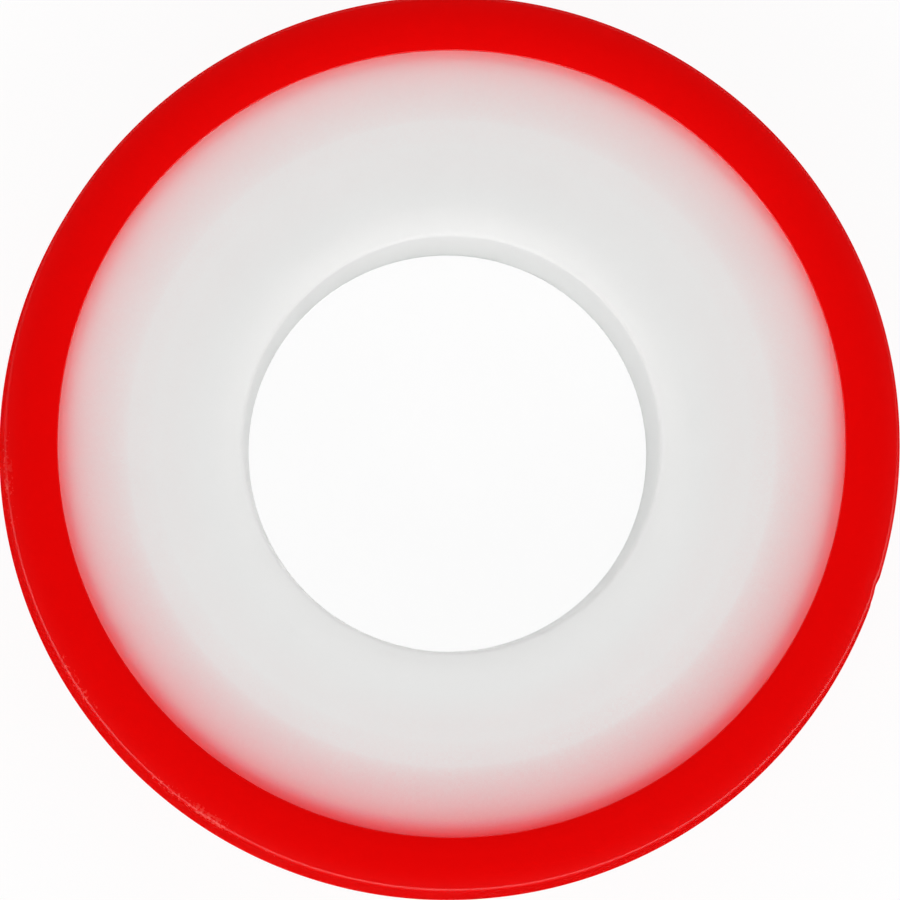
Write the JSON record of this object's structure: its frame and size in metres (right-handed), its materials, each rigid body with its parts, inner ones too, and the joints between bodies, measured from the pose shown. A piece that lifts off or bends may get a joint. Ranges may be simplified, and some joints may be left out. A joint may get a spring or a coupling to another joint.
{
  "type": "thread seal tape roll",
  "caption": "Round roll of thread seal tape: a milky spool with a through bore holds the wound tape and turns on a rear flange, inside a red cover that pulls off.",
  "frame": {"origin": "on the roll's axis, in the plane that the rear flange rests on", "axes": "+Z along the axis, from the rear flange to the cover's front window; +X and +Y across the roll"},
  "size_m": [0.0562, 0.0562, 0.0154],
  "materials": {
    "milky_plastic": "moulded, milky and slightly translucent",
    "white_plastic": "moulded, satin",
    "red_plastic": "moulded, semi-gloss",
    "seal_tape": "soft, waxy and matt"
  },
  "bodies": {
    "rear_flange": {"rear_flange": "white_plastic"},
    "spool": {"spool": "milky_plastic", "tape_roll": "seal_tape", "tape_end": "seal_tape"},
    "cover": {"cover": "red_plastic"}
  },
  "joints": [
    {"name": "spool_spin", "type": "hinge", "parent": "rear_flange", "child": "spool", "pos_m": [0, 0, 0], "axis": [0, 0, 1], "continuous": true},
    {"name": "cover_pull", "type": "slide", "parent": "rear_flange", "child": "cover", "axis": [0, 0, 1], "range_m": [0, 0.02]}
  ]
}
